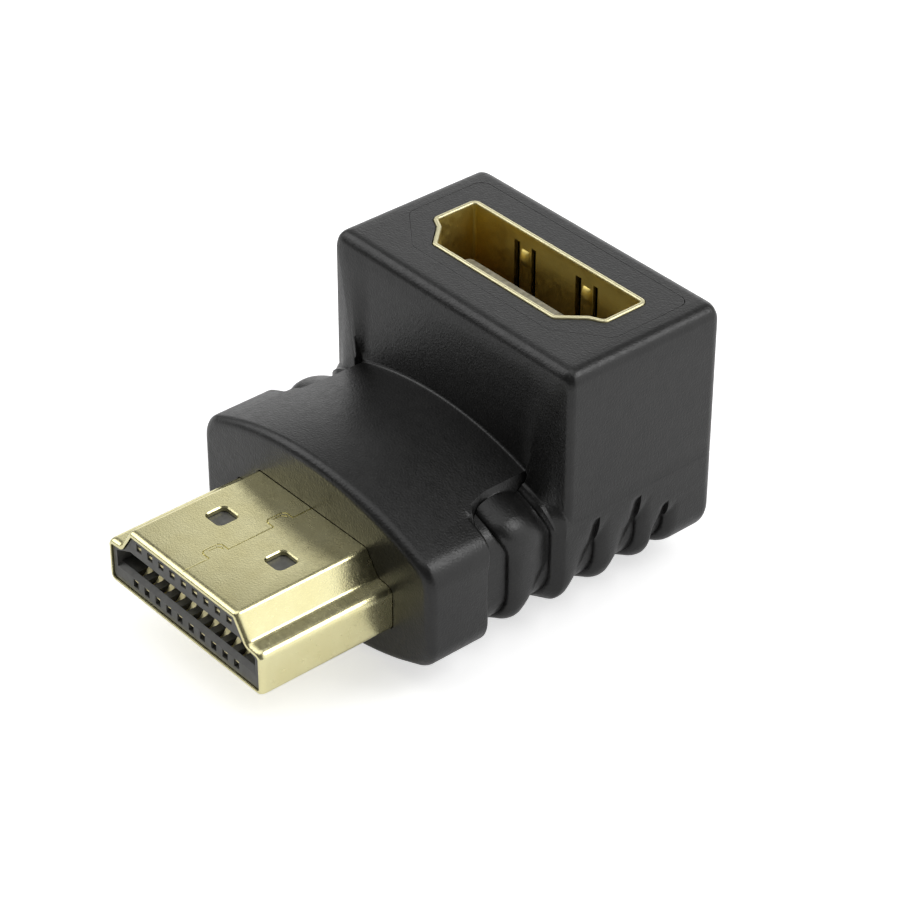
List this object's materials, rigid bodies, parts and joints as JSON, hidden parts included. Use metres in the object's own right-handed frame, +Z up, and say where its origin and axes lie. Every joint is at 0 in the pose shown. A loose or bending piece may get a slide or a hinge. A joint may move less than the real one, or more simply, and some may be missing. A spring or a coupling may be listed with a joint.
{
  "type": "right angle video adapter",
  "caption": "Right angle video adapter: a gilt plug under a ribbed black moulding that turns up to a gilt port.",
  "frame": {"origin": "middle of the overall box at the flat underside of the moulding", "axes": "+Y from the plug's tip towards the back of the body, +Z up out of the port, +X across"},
  "size_m": [0.0202, 0.0302, 0.0172],
  "materials": {
    "moulding": "charcoal black PVC with a fine spark grain",
    "inner_moulding": "charcoal black, fine grain",
    "gilt_shell": "pale gold plating, satin to bright",
    "gilt_contact": "bright gold plating",
    "insulator_plastic": "satin black",
    "port_plastic": "satin ivory",
    "board_laminate": "green solder mask"
  },
  "bodies": {
    "root": {"circuit_board": "board_laminate", "inner_mould": "inner_moulding", "overmould": "moulding", "plug_contact_lower_01": "gilt_contact", "plug_contact_lower_02": "gilt_contact", "plug_contact_lower_03": "gilt_contact", "plug_contact_lower_04": "gilt_contact", "plug_contact_lower_05": "gilt_contact", "plug_contact_lower_06": "gilt_contact", "plug_contact_lower_07": "gilt_contact", "plug_contact_lower_08": "gilt_contact", "plug_contact_lower_09": "gilt_contact", "plug_contact_lower_10": "gilt_contact", "plug_contact_upper_01": "gilt_contact", "plug_contact_upper_02": "gilt_contact", "plug_contact_upper_03": "gilt_contact", "plug_contact_upper_04": "gilt_contact", "plug_contact_upper_05": "gilt_contact", "plug_contact_upper_06": "gilt_contact", "plug_contact_upper_07": "gilt_contact", "plug_contact_upper_08": "gilt_contact", "plug_contact_upper_09": "gilt_contact", "plug_insulator": "insulator_plastic", "plug_shell": "gilt_shell", "port_contact_back_01": "gilt_contact", "port_contact_back_02": "gilt_contact", "port_contact_back_03": "gilt_contact", "port_contact_back_04": "gilt_contact", "port_contact_back_05": "gilt_contact", "port_contact_back_06": "gilt_contact", "port_contact_back_07": "gilt_contact", "port_contact_back_08": "gilt_contact", "port_contact_back_09": "gilt_contact", "port_contact_back_10": "gilt_contact", "port_contact_front_01": "gilt_contact", "port_contact_front_02": "gilt_contact", "port_contact_front_03": "gilt_contact", "port_contact_front_04": "gilt_contact", "port_contact_front_05": "gilt_contact", "port_contact_front_06": "gilt_contact", "port_contact_front_07": "gilt_contact", "port_contact_front_08": "gilt_contact", "port_contact_front_09": "gilt_contact", "port_insulator": "port_plastic", "port_shell": "gilt_shell"}
  },
  "joints": []
}
